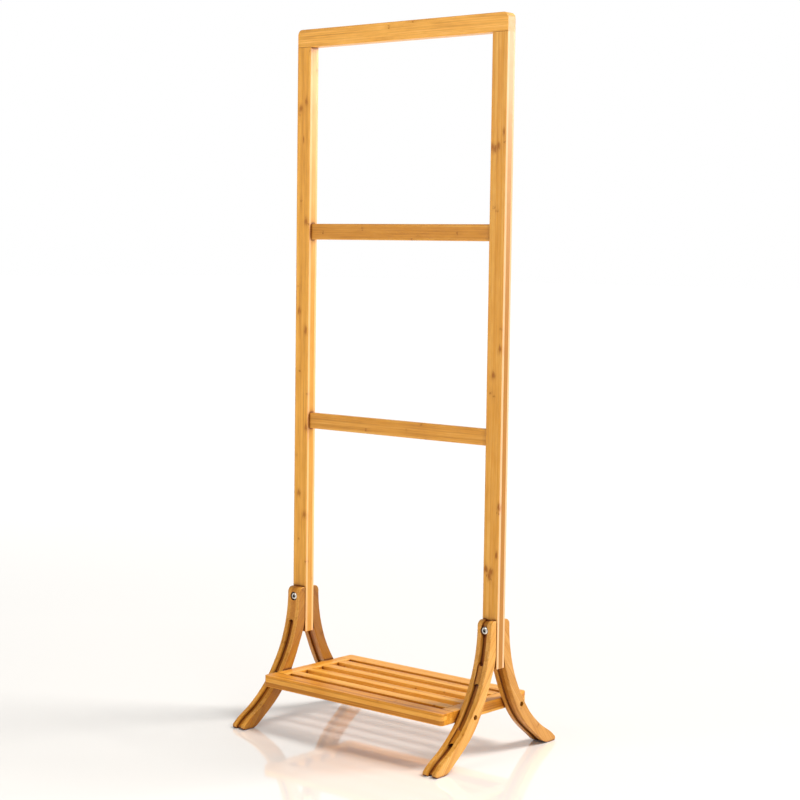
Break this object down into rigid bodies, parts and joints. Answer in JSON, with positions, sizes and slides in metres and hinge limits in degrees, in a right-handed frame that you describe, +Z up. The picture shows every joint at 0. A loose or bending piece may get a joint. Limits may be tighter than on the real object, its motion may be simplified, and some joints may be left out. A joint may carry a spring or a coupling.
{
  "type": "free-standing towel rack",
  "caption": "Slim free-standing bamboo towel rack: ladder frame with flat rails, curved splayed feet and a low slatted shelf between them.",
  "frame": {"origin": "on the floor, at the centre of the footprint", "axes": "+Z up; +X to the right seen from the front, along the rails; the front faces -Y"},
  "size_m": [0.4, 0.2796, 1.0535],
  "materials": {
    "bamboo": "clear satin lacquer",
    "bamboo_core": "clear satin lacquer, darker inside the grooves",
    "dowel_wood": "unfinished",
    "bright_steel": "bright zinc plate",
    "black_steel": "black oxide"
  },
  "bodies": {
    "root": {"top_rail": "bamboo", "middle_rung": "bamboo", "lower_rung": "bamboo", "upright_left": "bamboo", "upright_right": "bamboo", "rail_dowels": "dowel_wood", "foot_front_left_outer_cheek": "bamboo", "foot_front_left_inner_cheek": "bamboo", "foot_front_left_core": "bamboo_core", "foot_front_right_outer_cheek": "bamboo", "foot_front_right_inner_cheek": "bamboo", "foot_front_right_core": "bamboo_core", "foot_back_left_outer_cheek": "bamboo", "foot_back_left_inner_cheek": "bamboo", "foot_back_left_core": "bamboo_core", "foot_back_right_outer_cheek": "bamboo", "foot_back_right_inner_cheek": "bamboo", "foot_back_right_core": "bamboo_core", "foot_bolts": "bright_steel", "foot_sleeve_nuts": "bright_steel", "shelf_screws": "black_steel", "shelf_front_rail": "bamboo", "shelf_back_rail": "bamboo", "shelf_end_rail_left": "bamboo", "shelf_end_rail_right": "bamboo", "shelf_slat_1": "bamboo", "shelf_slat_2": "bamboo", "shelf_slat_3": "bamboo", "shelf_slat_4": "bamboo"}
  },
  "joints": []
}
